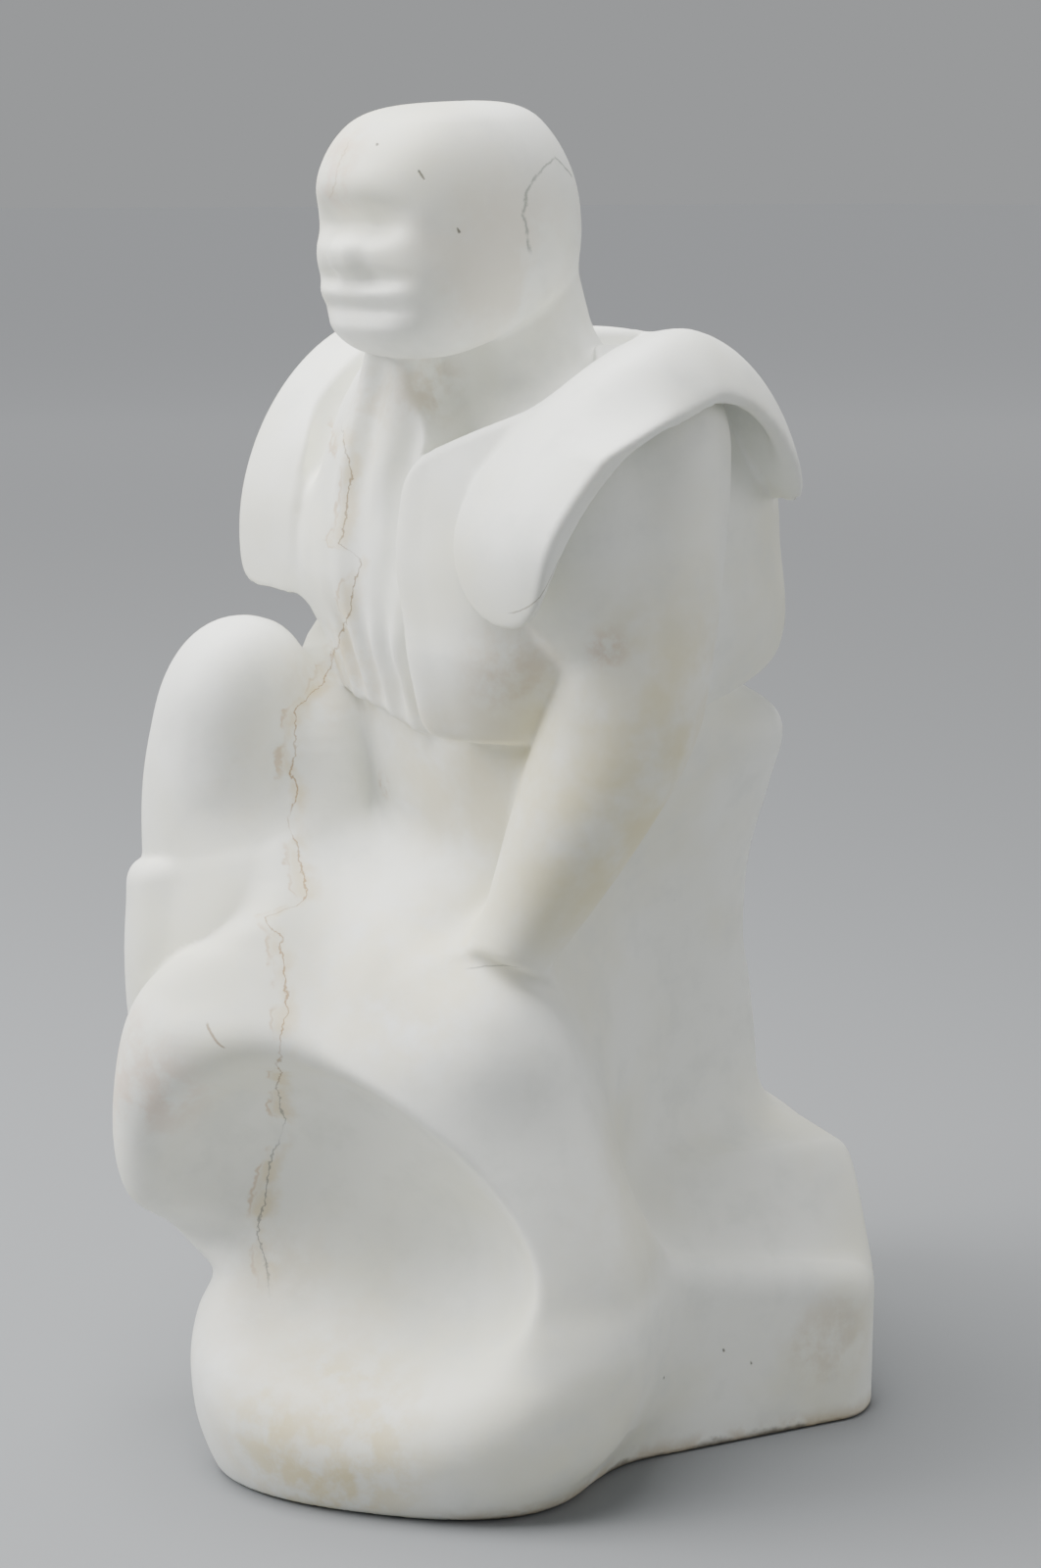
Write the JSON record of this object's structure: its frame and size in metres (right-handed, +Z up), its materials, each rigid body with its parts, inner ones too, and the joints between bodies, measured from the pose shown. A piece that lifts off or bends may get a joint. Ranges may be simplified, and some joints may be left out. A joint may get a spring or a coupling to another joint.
{
  "type": "crouching soldier statue",
  "caption": "Abstract crouching soldier carved in one stone: helmet-like head, shoulder slabs, open vest, arms on the lap, round scooped shield in front and a low block behind.",
  "frame": {"origin": "bottom centre of the bounding box, on the face the statue stands on", "axes": "+Z up, -Y the way the chest and shield face, +X towards the figure's left arm"},
  "size_m": [0.247, 0.332, 0.5632],
  "materials": {
    "white_marble": "white marble, rubbed smooth to a satin sheen"
  },
  "bodies": {
    "root": {"figure": "white_marble"}
  },
  "joints": []
}
